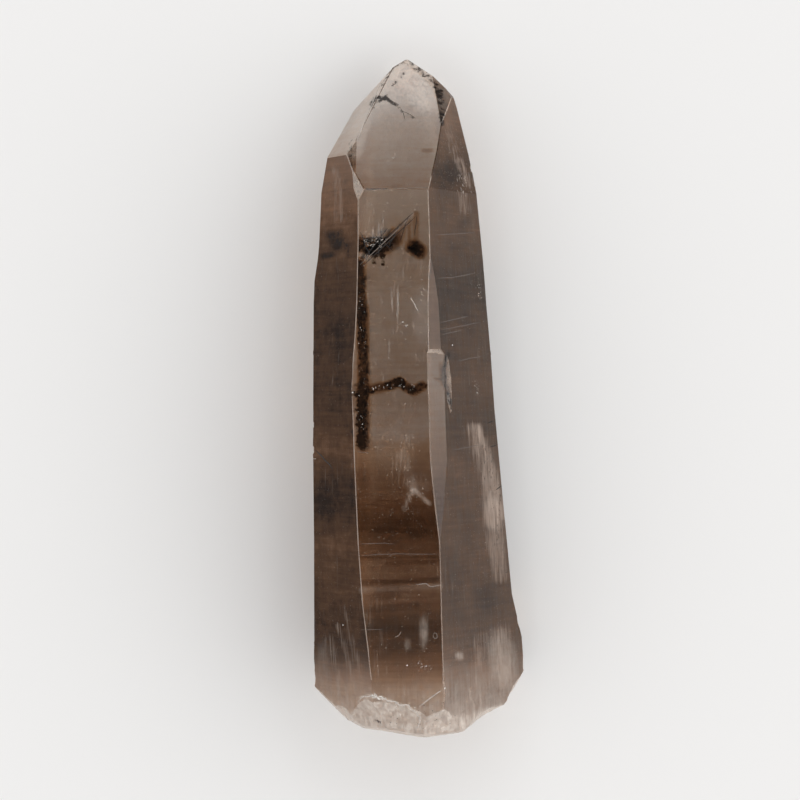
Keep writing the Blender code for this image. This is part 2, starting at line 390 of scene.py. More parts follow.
# Painted shade in the reflections: where the skin reflects much less than clean quartz, so that these faces
# look darker
SHADED_REFLECTION_TONES = (
    Tone(Side.LEFT, ((60, 0.9), (-60, 1), (-72, 0.4))),
    Tone(Side.RIGHT, ((60, 0.85), (-60, 0.8), (-72, 0.3))),
    Tone(Side.TOP, ((60, 0.8), (-60, 0.8))),
    Tone(Side.TIP_TOP, ((80, 0.2), (50, 0.6))),
    Tone(Side.TIP_LEFT, ((80, 0.3), (50, 0.3))),
    Tone(Side.RIGHT_SHOULDER, ((76, 0.8), (50, 0.9))),
    Tone(Side.LEFT_SLIVER, ((80, 1), (50, 1))),
    Tone(Side.RIGHT_SLIVER, ((80, 1), (50, 1))),
)

# Where bright specks lie in the skin: dust-fine bubbles and tiny growth pits
SPECK_TONES = (
    Tone(Side.TOP, ((50, 0.255), (20, 0.25), (0, 0.24), (-16, 0.265), (-30, 0.25), (-60, 0.24),
                    (-70, 0.25))),
    Tone(Side.LEFT, ((50, 0.21), (0, 0.2), (-60, 0.21))),
    Tone(Side.RIGHT, ((60, 0.24), (20, 0.22), (-40, 0.23), (-66, 0.25))),
    Tone(Side.RIGHT_SHOULDER, ((76, 0.25), (50, 0.25))),
    Tone(Side.TIP_TOP, ((80, 0.2), (64, 0.23), (52, 0.26))),
    Tone(Side.RIDGE, ((30, 0.26), (-60, 0.25))),
)

# Darker spots in the brown: what lies round the blotches, the zones of the root's half, and painted shade
# along the clear face's left rim
SMOKE_AND_SHADE_PATCHES = (
    # Painted shade: the clear face's left rim darkened on below the strip
    Patch(Side.TOP, -9, -24, 2.6, 15, 0.35),
    Patch(Side.TOP, -3, -46, 5, 3, 0.25, 14),
    Patch(Side.TOP, 4.6, -32, 5, 2, 0.3),
    Patch(Side.TOP, 3, -18, 6, 1.6, 0.2, -10),
    Patch(Side.LEFT, -14.4, 12, 1.6, 16, 0.4),
    Patch(Side.LEFT, -17, -25.6, 4, 4.6, 0.5),
    Patch(Side.RIGHT, 13.4, 36.2, 2.4, 1.6, 0.6),
    Patch(Side.RIGHT, 15.4, 42.6, 2.6, 1.4, 0.4, 20),
    Patch(Side.RIGHT, 9.6, 24, 2.6, 12, 0.5),
    Patch(Side.RIGHT_SHOULDER, 12.2, 54.6, 3, 4, 0.8),
    Patch(Side.RIGHT, 20.4, -47, 4.6, 6, 0.5),
    Patch(Side.RIGHT, 12.4, -46, 3, 12, 0.3),
    Patch(Side.TIP_TOP, 6.6, 59.8, 2.2, 0.7, 0.35),
)

# Milky spots: the root's side, and the haze round the veil
MILK_PATCHES = (
    Patch(Side.RIGHT, 14.2, -61.4, 1.3, 1.3, 0.4),
    Patch(Side.RIGHT, 24.6, -62, 4.6, 9, 0.26, 10),
    Patch(Side.RIGHT, 22.6, -24, 3.6, 17, 0.12, 8),
    Patch(Side.LEFT, -18.5, -64, 2.4, 8, 0.1),
    Patch(Side.TOP, 5.7, -55.6, 1.4, 5.4, 0.36),
    Patch(Side.TOP, 1.8, -58.6, 1, 2, 0.24),
    Patch(Side.TOP, -1, -13, 7, 7, 0.08),
    Patch(Side.TOP, 4.6, -20, 4, 4, 0.12),
    Patch(Side.TOP, 5.2, 20, 3, 9, 0.08),
    Patch(Side.TIP_TOP, 5.6, 73, 4.4, 5, 0.3),
)

# Milky lines: the bubble veil and a pale glow near the root. The first line is a painted highlight along
# the tip face's left edge
MILK_AND_HIGHLIGHT_STROKES = (
    # Painted highlight along the tip face's left edge and the termination beside it
    Stroke(((-2.9, 79), (-6, 74), (-9.6, 65), (-11, 60)), 3, 0.3),
    Stroke(((3.3, -21.4), (2.2, -23.4), (1, -26.2)), 0.6, 0.34),
    Stroke(((3.3, -21.4), (5, -23), (7, -24.8)), 0.75, 0.36),
    Stroke(((0.4, -13), (3.3, -21.6)), 1.8, 0.14),
    Stroke(((-9.2, -45.6), (9.6, -44.6)), 1, 0.12),
)

# Brown streaks and lines: what hangs from the needle, the band's halo and zones across the root's half, and
# painted shade in the strip down the clear face's left rim
SMOKE_AND_SHADE_STROKES = (
    Stroke(((3.9, 44.8), (3.6, 36)), 0.8, 0.36, Side.TOP),
    Stroke(((2.4, 43), (2.2, 37)), 0.7, 0.3, Side.TOP),
    Stroke(((0.6, 41.6), (-0.6, 38)), 1.4, 0.36, Side.TOP),
    Stroke(((-1.6, 41), (-2, 37)), 1, 0.3, Side.TOP),
    Stroke(((3.2, 36.8), (4.6, 35.8)), 2.5, 0.8, Side.TOP),
    Stroke(((-9.9, 37.6), (-7, 36.8), (-3.4, 37), (-1.4, 38.6)), 2.7, 0.6, Side.TOP),
    # Painted shade: the dark strip down the clear face's left rim, where the view turns off the lower left
    # face
    Stroke(((-9.6, 33), (-9.2, 20)), 1.7, 0.85, Side.TOP),
    Stroke(((-9, 22), (-8.8, 4), (-8.8, -11)), 2, 0.8, Side.TOP),
    Stroke(((-7, 2.6), (-2.6, 3.4), (-0.1, 4.4), (1.6, 3), (3.2, 2.2), (5.4, 3.4)), 1.6, 0.65,
           Side.TOP),
    Stroke(((-10, -37.9), (8.8, -37.7)), 0.5, 0.4, Side.TOP),
    Stroke(((-3, -39.2), (8.6, -38.8)), 0.6, 0.4, Side.TOP),
    Stroke(((-9.4, -43.8), (9.4, -43.2)), 0.8, 0.45, Side.TOP),
    Stroke(((-9, -50.6), (4, -49.4)), 1.2, 0.35, Side.TOP),
    Stroke(((-9.6, -31), (2, -31.4)), 0.8, 0.3, Side.TOP),
    Stroke(((-9.6, -55.4), (9, -54.6)), 1, 0.25, Side.TOP),
    Stroke(((9.2, 5), (10.9, 5)), 0.6, 0.6, Side.RIDGE),
    Stroke(((-16.4, 39.2), (-15.2, 37.4)), 2.2, 0.85, Side.LEFT),
    Stroke(((-18.2, 34.5), (-16.2, 34.9)), 1.2, 0.8, Side.LEFT),
    Stroke(((-14.2, 40), (-12, 35)), 1.4, 0.5, Side.LEFT),
    Stroke(((9.6, 74), (10.4, 70), (10.4, 66)), 1.6, 0.9, Side.RIGHT_SLIVER),
    Stroke(((11.4, 11.5), (10.5, 7.2), (10.7, 3.9), (11.5, 2.2), (11.9, -0.6)), 0.8, 0.8),
    Stroke(((2, 81.4), (5.6, 78.6), (8.4, 75.8), (9.4, 73.4)), 1.4, 0.5, Side.TIP_TOP),
)

# Dark marks with ragged edges: oxide in the clear face's blotches and band, at the tip and rims, and
# painted shade in the strip down the clear face's left rim
STAIN_AND_SHADE_STROKES = (
    # Painted shade with brown specks: the dark strip down the clear face's left rim
    Stroke(((-9.6, 32.8), (-9.4, 20)), 1.6, 0.62, Side.TOP),
    Stroke(((-9.2, 21), (-8.8, 4), (-8.9, -10.8)), 2.1, 0.54, Side.TOP),
    Stroke(((-10.3, 3), (-9.6, -4), (-9.4, -10.4)), 2.2, 0.5),
    Stroke(((-9.9, 37.2), (-7, 36.6), (-4.4, 36.8)), 3.2, 0.64, Side.TOP),
    Stroke(((-4.6, 37), (-1.4, 38.8)), 1.9, 0.56, Side.TOP),
    Stroke(((-6.3, 36), (-6.3, 33)), 1.1, 0.6, Side.TOP),
    Stroke(((-4.1, 36), (-4.2, 32.6)), 1.1, 0.56, Side.TOP),
    Stroke(((3.2, 37), (4.8, 35.6)), 2.4, 0.56, Side.TOP),
    Stroke(((-7, 2.5), (-4.6, 3.2), (-2.6, 3.5), (-0.1, 4.4)), 1.7, 0.58, Side.TOP),
    Stroke(((-0.1, 4.4), (1.6, 2.9), (3.2, 2.2), (5.6, 3.4)), 1.9, 0.58, Side.TOP),
    Stroke(((-16.4, 39.2), (-15.2, 37.6)), 1.8, 0.46, Side.LEFT),
    Stroke(((-18.2, 34.5), (-16.2, 34.9)), 1, 0.5, Side.LEFT),
    Stroke(((-14.4, 39.6), (-12.2, 35)), 1.6, 0.36, Side.LEFT),
    Stroke(((-12.4, -6.4), (-10.9, -8.8)), 1, 0.46, Side.LEFT),
    Stroke(((-6.6, 70.6), (-5.8, 72.2), (-3.8, 72.6)), 1.5, 0.56),
    Stroke(((-3.6, 72.4), (-1.6, 71.2), (-0.4, 70.5)), 0.75, 0.6),
    Stroke(((-1.8, 79.4), (-4.8, 75)), 0.7, 0.46),
    Stroke(((-0.8, 76.4), (-2, 75.4)), 0.55, 0.54),
    Stroke(((0.7, 78.4), (0.2, 77.5)), 0.5, 0.54),
    Stroke(((-2.6, 74.4), (-2.9, 73.6)), 0.45, 0.5),
    Stroke(((0.6, 81.4), (-3.1, 79.7)), 1.2, 0.48),
    Stroke(((2, 81.4), (5.6, 78.6), (8.4, 75.8), (9.6, 73.4)), 1.5, 0.46),
    Stroke(((9.4, 73.8), (10.1, 70), (10.2, 66.4)), 1.3, 0.54),
    Stroke(((-11.6, 62.4), (-12.1, 59.2), (-11.6, 56.6)), 0.8, 0.5),
    Stroke(((0.2, 69.9), (0.8, 68.6), (3.8, 67.5)), 0.5, 0.44),
    Stroke(((11.4, 11.5), (10.5, 7.2), (10.7, 3.9), (11.5, 2.2), (11.9, -0.6)), 0.7, 0.52),
    Stroke(((18.4, 56.4), (17, 57)), 0.9, 0.5),
    Stroke(((-5.6, -77), (-5, -77.4)), 0.8, 0.5),
)

# Pale streaks along the crystal, where flaws under a side face catch the light
FEATHER_STROKES = (
    Stroke(((17.8, -7), (19.3, -13), (21.2, -21), (22.4, -29)), 2.9, 0.44, Side.RIGHT),
    Stroke(((22.2, -26), (22.8, -35), (24.4, -42)), 3.1, 0.4, Side.RIGHT),
    Stroke(((18.4, -6.6), (20.8, -11.6), (23, -19), (24.8, -28)), 1.2, 0.36, Side.RIGHT),
    Stroke(((14.4, 56), (15.4, 46)), 2.2, 0.32, Side.RIGHT),
    Stroke(((14.4, 57), (16.6, 52)), 1.8, 0.34, Side.RIGHT_SHOULDER),
    Stroke(((11.4, 66), (13.4, 58)), 1.6, 0.26, Side.RIGHT_SHOULDER),
    Stroke(((-15.2, 54.4), (-14.4, 44)), 2, 0.3, Side.LEFT),
    Stroke(((-13.6, -50), (-11.6, -58), (-8.8, -67)), 1.2, 0.26, Side.LEFT),
    Stroke(((-14.8, -54), (-12.8, -61), (-10.8, -69)), 1, 0.28, Side.LEFT),
    Stroke(((-17, -58), (-15.6, -66), (-15.6, -72)), 2.4, 0.24, Side.LEFT),
    Stroke(((19.6, -58), (20.6, -66), (18, -72)), 3.6, 0.28, Side.RIGHT),
    Stroke(((24.6, -56), (25.6, -68)), 3, 0.32, Side.RIGHT),
    Stroke(((-3.6, 46.4), (-5.6, 40)), 2, 0.2, Side.TOP),
    Stroke(((-1.2, 27), (-1.4, 12)), 1.6, 0.2, Side.TOP),
    Stroke(((2.6, -10), (0, -18)), 3.4, 0.22, Side.TOP),
    Stroke(((-6, -50), (-4, -64)), 4, 0.16, Side.TOP),
)

# Thicker dust of specks
SPECK_STROKES = (
    Stroke(((5.4, 31), (6.6, 17)), 1.6, 0.06, Side.TOP),
    Stroke(((4, -17), (2, -26)), 3.6, 0.04, Side.TOP),
    Stroke(((6, -60), (4, -65)), 3, 0.04, Side.TOP),
    Stroke(((18.9, 28), (19.4, 24.4)), 0.8, 0.14, Side.RIGHT),
    Stroke(((18.2, 4.6), (18.7, 1.4)), 0.7, 0.16, Side.RIGHT),
    Stroke(((-2.4, 58.8), (3.6, 60)), 2.6, 0.05, Side.TIP_TOP),
    Stroke(((3, 80.2), (8.8, 75), (10, 70)), 0.8, 0.3),
    Stroke(((-9.4, -71.4), (-6, -71.2), (-2.4, -72.4), (3.4, -74.6)), 0.9, 0.4),
)


# Each quality's name is that of the skin's attribute, which the material reads
QUALITIES = (
    Quality("smoke_and_shade", SMOKE_TONES, SMOKE_AND_SHADE_PATCHES + SMOKE_AND_SHADE_STROKES),
    Quality("milk", MILK_TONES, MILK_PATCHES + MILK_AND_HIGHLIGHT_STROKES),
    Quality("satin", SATIN_TONES),
    Quality("haze", HAZE_TONES),
    Quality("shaded_reflection", SHADED_REFLECTION_TONES),
    Quality("specks", SPECK_TONES, SPECK_STROKES),
    Quality("stain_and_shade", (), STAIN_AND_SHADE_STROKES),
    Quality("feather", (), FEATHER_STROKES),
)


@dataclass(frozen=True)
class SmokyQuartz:
    """Smoky quartz: clear quartz browned by natural radiation, with faces as they grew.

    One can see into the clear faces, and the brown deepens with the way that light takes through the
    stone. Growth lines and etching make the faces satin under a thin polish, flaws too fine to see
    turn some light back under the side faces, and the broken root is frosted. Each pattern's size is
    that of its features along X, Y and Z. Real growth lines and dust are finer than line_mm and
    speck_mm, which are as coarse as the view needs to show them.
    """

    ior: float = 1.544
    smoke_and_shade: tuple[tuple[float, str], ...] = (
        (0.0, "#FBF8F5"),
        (0.3, "#C8A78B"),
        (0.6, "#836048"),
        (0.8, "#503724"),
        (1.0, "#1E0F06"),
    )
    milk: str = "#E6DACF"
    # The oxide's near black also paints the shade of the strip down the clear face's left rim
    oxide: str = "#1D1714"
    pale: str = "#A69589"
    speck: str = "#C2B2A5"
    absorbed: str = "#EDC680"
    density: float = 16.5
    roughness: float = 0.05
    satin_roughness: float = 0.33
    frost_roughness: float = 0.6
    milky_share: float = 0.35
    marked_share: float = 0.1
    # The tint of the reflections where their painted shade is full
    shaded_shine: float = 0.02
    polish: float = 0.3
    polish_roughness: float = 0.06
    line_mm: Size = (14.0, 0.9, 14.0)
    streak_mm: Size = (0.6, 12.0, 0.6)
    mottle_mm: Size = (2.4, 2.4, 2.4)
    cloud_mm: Size = (9.0, 9.0, 9.0)
    stain_mm: Size = (1.1, 1.1, 1.1)
    speck_mm: Size = (0.36, 0.36, 0.36)
    grain_detail: float = 4.0
    grain_roughness: float = 0.6
    streak_share: float = 0.3
    cloud_share: float = 0.5
    broad_share: float = 0.6
    smoke_swing: float = 0.4
    milk_swing: float = 0.4
    milk_mottle: float = 0.5
    milk_grain: Pair = (0.38, 0.62)
    relief_mm: float = 0.02
    mark_reach: float = 0.7
    mark_level: float = 0.85
    feather_softness: float = 0.22
    stain_softness: float = 0.1
    speck_softness: float = 0.04

    def grain(
        self, tree: bpy.types.NodeTree, place: bpy.types.NodeSocket, size: Size
    ) -> bpy.types.NodeSocket:
        """A noise pattern whose features have a real size.

        Args:
            tree: The material's node tree.
            place: Object coordinates, in metres.
            size: The features' size along X, Y and Z, in millimetres.

        Returns:
            The noise, about 0.5 on average.
        """
        scale = tuple(1 / (extent * MM) for extent in size)
        mapping = add_node(tree, "ShaderNodeMapping", {"Vector": place, "Scale": scale})
        settings = {"Scale": 1.0, "Detail": self.grain_detail, "Roughness": self.grain_roughness}
        return add_node(tree, "ShaderNodeTexNoise", {"Vector": mapping} | settings).outputs[0]

    def browned(self, tree: bpy.types.NodeTree, amount: bpy.types.Node) -> bpy.types.NodeSocket:
        """The brown at each depth of smoke.

        Args:
            tree: The material's node tree.
            amount: How smoky the stone is, from 0 to 1.

        Returns:
            The colour.
        """
        scale = add_node(tree, "ShaderNodeValToRGB", {"Fac": amount})
        stops = scale.color_ramp.elements
        while len(stops) < len(self.smoke_and_shade):
            stops.new(1.0)
        for stop, (place, colour) in zip(stops, self.smoke_and_shade):
            stop.position = place
            stop.color = linear(colour)
        return scale.outputs["Color"]

    def marked(
        self,
        tree: bpy.types.NodeTree,
        amount: bpy.types.NodeSocket,
        grain: bpy.types.NodeSocket,
        softness: float,
    ) -> bpy.types.Node:
        """Where an uneven mark shows: nowhere at an amount of 0, and everywhere at 1.

        Args:
            tree: The material's node tree.
            amount: The quality that says how much of the mark there is.
            grain: The noise that breaks it up.
            softness: How far the mark's edge fades, in the noise's own measure.

        Returns:
            The node that gives the mark's share, from 0 to 1.
        """
        level = add_node(
            tree, "ShaderNodeMath", {0: amount, 1: self.mark_reach, 2: grain}, operation="MULTIPLY_ADD"
        )
        ends = {"From Min": self.mark_level - softness, "From Max": self.mark_level + softness}
        return add_node(tree, "ShaderNodeMapRange", {"Value": level} | ends)

    def material(self) -> bpy.types.Material:
        """Builds the clear shader with its plain absorption.

        Returns:
            The material.
        """
        material, tree = new_material("smoky_quartz")
        place = add_node(tree, "ShaderNodeTexCoord").outputs["Object"]
        painted = {
            quality.name: add_node(
                tree, "ShaderNodeAttribute", attribute_name=quality.name
            ).outputs["Fac"]
            for quality in QUALITIES
        }
        lines, streaks, mottle, clouds = (
            self.grain(tree, place, size)
            for size in (self.line_mm, self.streak_mm, self.mottle_mm, self.cloud_mm)
        )

        # The brown swings by a fine pattern of lines and streaks and a broad one of mottles and clouds
        fine = add_node(
            tree, "ShaderNodeMix", {SHARE: self.streak_share, NUMBER_A: lines, NUMBER_B: streaks}
        )
        broad = add_node(
            tree, "ShaderNodeMix", {SHARE: self.cloud_share, NUMBER_A: mottle, NUMBER_B: clouds}
        )
        both = add_node(
            tree, "ShaderNodeMix", {SHARE: self.broad_share, NUMBER_A: fine, NUMBER_B: broad}
        )
        swing = add_node(
            tree,
            "ShaderNodeMath",
            {0: both, 1: self.smoke_swing * 2, 2: -self.smoke_swing},
            operation="MULTIPLY_ADD",
        )
        smoke_and_shade = add_node(
            tree, "ShaderNodeMath", {0: painted["smoke_and_shade"], 1: swing}, operation="ADD", use_clamp=True
        )

        # The milk swings by streaks and mottles
        cover = add_node(
            tree, "ShaderNodeMix", {SHARE: self.milk_mottle, NUMBER_A: streaks, NUMBER_B: mottle}
        )
        uneven = add_node(
            tree,
            "ShaderNodeMapRange",
            {
                "Value": cover,
                "From Min": self.milk_grain[0],
                "From Max": self.milk_grain[1],
                "To Min": 1 - self.milk_swing,
                "To Max": 1 + self.milk_swing,
            },
        )
        milk = add_node(
            tree, "ShaderNodeMath", {0: painted["milk"], 1: uneven}, operation="MULTIPLY", use_clamp=True
        )

        # Milk with the painted highlight at the tip, pale feathers, bright specks, and black stains with
        # the painted shade of the strip lie over the brown, in that order
        specks = self.grain(tree, place, self.speck_mm)
        stains = self.grain(tree, place, self.stain_mm)
        feather = self.marked(tree, painted["feather"], streaks, self.feather_softness)
        speck = self.marked(tree, painted["specks"], specks, self.speck_softness)
        stain_and_shade = self.marked(tree, painted["stain_and_shade"], stains, self.stain_softness)
        colour = self.browned(tree, smoke_and_shade)
        layers = ((milk, self.milk), (feather, self.pale), (speck, self.speck), (stain_and_shade, self.oxide))
        for share, hue in layers:
            mix = {SHARE: share, COLOUR_A: colour, COLOUR_B: linear(hue)}
            laid = add_node(tree, "ShaderNodeMix", mix, data_type="RGBA")
            colour = laid.outputs[MIXED_COLOUR]

        # Haze, milk, feathers and specks turn light back under the skin, and what is left goes through
        marks = add_node(
            tree, "ShaderNodeMath", {0: feather, 1: speck}, operation="ADD", use_clamp=True
        )
        clear = add_node(tree, "ShaderNodeMath", {0: 1.0, 1: painted["haze"]}, operation="SUBTRACT")
        milky = add_node(
            tree, "ShaderNodeMix", {SHARE: milk, NUMBER_A: clear, NUMBER_B: self.milky_share}
        )
        through = add_node(
            tree, "ShaderNodeMix", {SHARE: marks, NUMBER_A: milky, NUMBER_B: self.marked_share}
        )

        # The skin is polished, satin or frosted. Where shade is painted into its reflections, they are
        # tinted dark and the polish is taken off
        satin = {
            SHARE: painted["satin"],
            NUMBER_A: self.roughness,
            NUMBER_B: self.satin_roughness,
        }
        grown = add_node(tree, "ShaderNodeMix", satin)
        rough = add_node(
            tree, "ShaderNodeMix", {SHARE: milk, NUMBER_A: grown, NUMBER_B: self.frost_roughness}
        )
        bump = {"Strength": 1.0, "Distance": self.relief_mm * MM, "Height": fine}
        clean, shaded_tint = (1.0,) * 4, (self.shaded_shine,) * 3 + (1.0,)
        shine = {SHARE: painted["shaded_reflection"], COLOUR_A: clean, COLOUR_B: shaded_tint}
        tint = add_node(tree, "ShaderNodeMix", shine, data_type="RGBA")
        coat = {SHARE: painted["shaded_reflection"], NUMBER_A: self.polish, NUMBER_B: 0.0}
        shader = add_node(
            tree,
            "ShaderNodeBsdfPrincipled",
            {
                "Base Color": colour,
                "Roughness": rough,
                "IOR": self.ior,
                "Normal": add_node(tree, "ShaderNodeBump", bump),
                "Transmission Weight": through,
                "Specular IOR Level": 0.0,
                "Specular Tint": tint.outputs[MIXED_COLOUR],
                "Coat Weight": add_node(tree, "ShaderNodeMix", coat),
                "Coat Roughness": self.polish_roughness,
                "Coat IOR": self.ior,
            },
        )
        absorption = {"Color": linear(self.absorbed), "Density": self.density}
        volume = add_node(tree, "ShaderNodeVolumeAbsorption", absorption)
        add_node(tree, "ShaderNodeOutputMaterial", {"Surface": shader, "Volume": volume})
        return material


@dataclass
class CrystalSkin:
    """The crystal's whole outside, as one closed mesh with bevelled edges and growth lines.

    The slices run round the crystal, across its long axis, as its growth lines do. A span is a pair
    of places on the long axis, from where something starts to where it is full, and other pairs are
    the least and the most of what they name.
    """

    weld: float = 0.002
    flat_deg: float = 0.5
    sharp_deg: float = 18.0
    long_edge: float = 1.5
    edge_bevel: float = 0.15
    slice_step: float = 0.45
    column_step: float = 1.3
    above_slope: float = 0.72
    fine_column_step: float = 0.65
    storey_step: float = 1.7
    root_step: float = 0.55
    smallest: float = 0.03
    plane_slack_m: float = 1e-8
    line_count: int = 90
    line_height: float = 0.04
    line_span: Pair = (-68.0, -62.0)
    line_middles: Pair = (-70.0, 60.0)
    line_half_widths: Pair = (0.25, 0.7)
    line_slant: float = 0.03
    line_reaches: Pair = (8.0, 60.0)
    line_centres: Pair = (-20.0, 50.0)
    line_fade: float = 0.6
    rounding_rounds: int = 14
    rounding_span: Pair = (-64.0, -71.0)
    rounding_pull: float = 0.5
    crumble_height: float = 0.3
    crumble_size: float = 4.2
    crumble_span: Pair = (-67.0, -72.0)
    crumble_lift: Pair = (0.05, 0.8)
    crumble_noise: tuple[float, float, int] = (0.8, 2.0, 4)
    break_span: Pair = (BREAK_TOP, BREAK_TOP - 2)
    frost_span: Pair = (-72.0, -77.0)
    root_frost: float = 0.78
    edge_wear: float = 0.5
    edge_smoke: float = 0.25
    seed: int = 11

    def slice_up(self, bm: bmesh.types.BMesh, axis: int, step: float, faces: list | None = None) -> None:
        """Cuts faces along evenly spaced planes, and takes nothing off.

        Args:
            bm: The mesh.
            axis: The planes' axis: 0, 1 or 2 for X, Y or Z.
            step: Millimetres from one plane to the next.
            faces: The faces to cut, or None for all.
        """
        normal = [0.0, 0.0, 0.0]
        normal[axis] = 1.0
        chosen = list(faces if faces is not None else bm.faces)
        heights = [vert.co[axis] for face in chosen for vert in face.verts]
        geom = set(chosen)
        for face in chosen:
            geom.update(face.edges)
            geom.update(face.verts)
        place = math.ceil(min(heights) / (step * MM)) * step * MM
        while place < max(heights):
            point = [0.0, 0.0, 0.0]
            point[axis] = place
            done = bmesh.ops.bisect_plane(
                bm, geom=list(geom), dist=self.plane_slack_m, plane_co=point, plane_no=normal
            )
            geom = {
                item
                for item in done["geom"]
                if max(v.co[axis] for v in getattr(item, "verts", [item])) > place
            }
            place += step * MM

    def bevel_edges(self, bm: bmesh.types.BMesh) -> None:
        """Gives the long sharp edges the narrow worn face that catches the light.

        Args:
            bm: The mesh.
        """
        edges = [
            edge
            for edge in bm.edges
            if edge.calc_face_angle(0.0) > math.radians(self.sharp_deg)
            and edge.calc_length() > self.long_edge * MM
        ]
        bmesh.ops.bevel(
            bm,
            geom=edges,
            offset=self.edge_bevel * MM,
            offset_type="OFFSET",
            segments=1,
            profile=0.5,
            affect="EDGES",
            clamp_overlap=False,
        )

    def fine_mesh(self, solid: bpy.types.Object) -> bpy.types.Mesh:
        """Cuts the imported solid's faces up finely, after bevelling their edges.

        Args:
            solid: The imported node.

        Returns:
            The new mesh.
        """
        bm = bmesh.new()
        bm.from_mesh(solid.data)
        bmesh.ops.remove_doubles(bm, verts=bm.verts, dist=self.weld * MM)
        flat = math.radians(self.flat_deg)
        bmesh.ops.dissolve_limit(bm, angle_limit=flat, verts=bm.verts, edges=bm.edges)
        self.bevel_edges(bm)
        self.slice_up(bm, 0, self.column_step)
        above = [face for face in bm.faces if face.normal.z > self.above_slope]
        self.slice_up(bm, 0, self.fine_column_step, above)
        self.slice_up(bm, 2, self.storey_step)
        for axis in (0, 2):
            root = [face for face in bm.faces if face.calc_center_median().y < BREAK_TOP * MM]
            self.slice_up(bm, axis, self.root_step, root)
        self.slice_up(bm, 1, self.slice_step)
        bmesh.ops.dissolve_degenerate(bm, dist=self.smallest * MM, edges=bm.edges)
        mesh = bpy.data.meshes.new("crystal_skin")
        bm.to_mesh(mesh)
        bm.free()
        return mesh

    def round_root(self, mesh: bpy.types.Mesh) -> None:
        """Wears the sharp corners of the broken root round.

        Args:
            mesh: The fine mesh.
        """
        bm = bmesh.new()
        bm.from_mesh(mesh)
        top, full = self.rounding_span
        for _ in range(self.rounding_rounds):
            moved = {}
            for vert in bm.verts:
                share = min(max((vert.co.y / MM - top) / (full - top), 0.0), 1.0)
                if share > 0 and vert.link_edges:
                    near = [edge.other_vert(vert).co for edge in vert.link_edges]
                    middle = sum(near, Vector()) / len(near)
                    moved[vert] = vert.co.lerp(middle, share * self.rounding_pull)
            for vert, place in moved.items():
                vert.co = place
        bm.to_mesh(mesh)
        bm.free()

    def relief(self, mesh: bpy.types.Mesh) -> None:
        """Raises growth lines on the grown faces, and crumbles the break.

        A growth line runs across a face, nearly square to the crystal's long axis. The points on the
        sharp edges stay where they are on the grown faces, so that these keep their straight edges.

        Args:
            mesh: The fine mesh.
        """
        points = read(mesh.vertices, "co", 3) / MM
        normals = read(mesh.vertices, "normal", 3)
        shares = Side.shares(normals)
        grown = (Side.TOP, Side.LEFT, Side.RIGHT, Side.LOWER_LEFT, Side.LOWER_RIGHT, Side.RIDGE)
        flat = sum(shares[side] for side in grown) * soft_step(*self.line_span, points[:, 1])
        across = points[:, 0] + points[:, 2]
        random = np.random.default_rng(self.seed)
        height = np.zeros(len(points))
        for _ in range(self.line_count):
            middle = random.uniform(*self.line_middles)
            half_width = random.uniform(*self.line_half_widths)
            slant = random.normal(0, self.line_slant)
            reach = random.uniform(*self.line_reaches)
            centre = random.uniform(*self.line_centres)
            tall = random.uniform(-1, 1) * self.line_height
            line = np.exp(-(((points[:, 1] - middle - slant * across) / half_width) ** 2))
            height += tall * line * soft_step(reach, reach * self.line_fade, np.abs(across - centre))
        height *= flat
        broken = soft_step(*self.crumble_span, points[:, 1])
        broken *= soft_step(*self.crumble_lift, points[:, 2])
        for i in np.nonzero(broken)[0]:
            place = Vector(points[i]) / self.crumble_size
            rough = noise.fractal(place, *self.crumble_noise, noise_basis="PERLIN_ORIGINAL")
            height[i] -= broken[i] * self.crumble_height * abs(rough)
        moved = (points + normals * height[:, None]) * MM
        mesh.vertices.foreach_set("co", moved.ravel().astype(np.float32))
        mesh.update()

    def paint(self, mesh: bpy.types.Mesh) -> None:
        """Writes the skin's qualities on the corners of its faces.

        Args:
            mesh: The fine mesh.
        """
        corners = read(mesh.loops, "vertex_index", kind=np.int32)
        points = read(mesh.vertices, "co", 3)[corners] / MM
        sizes = read(mesh.polygons, "loop_total", kind=np.int32)
        normals = np.repeat(read(mesh.polygons, "normal", 3), sizes, axis=0)
        places, shares, facing = seen(points), Side.shares(normals), normals[:, 2] > 0
        qualities = {quality.name: quality.on(shares, facing, places) for quality in QUALITIES}
        grown = sum(shares.values())
        root = soft_step(*self.break_span, points[:, 1])
        frosted = soft_step(*self.frost_span, points[:, 1])
        broken = np.clip((1 - grown) * root + frosted, 0.0, 1.0)
        worn = (1 - grown) * (1 - root)
        qualities["milk"] = np.maximum(qualities["milk"], broken * self.root_frost)
        qualities["milk"] = np.maximum(qualities["milk"], worn * self.edge_wear)
        qualities["smoke_and_shade"] = qualities["smoke_and_shade"] + (1 - grown) * self.edge_smoke
        for name, values in qualities.items():
            layer = mesh.attributes.new(name, "FLOAT", "CORNER")
            layer.data.foreach_set("value", np.clip(values, 0.0, 1.0).astype(np.float32))

    def build(self, solid: bpy.types.Object) -> bpy.types.Object:
        """Makes the skin.

        Args:
            solid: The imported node.

        Returns:
            The new object.
        """
        mesh = self.fine_mesh(solid)
        self.paint(mesh)
        self.round_root(mesh)
        self.relief(mesh)
        mesh.materials.append(SmokyQuartz().material())
        skin = bpy.data.objects.new("crystal_skin", mesh)
        bpy.context.scene.collection.objects.link(skin)
        return skin


# The size of the mottles in a flaw, and how much deeper its dark parts are
FLAW_MOTTLE_MM = 0.8
FLAW_DEPTH = 0.45


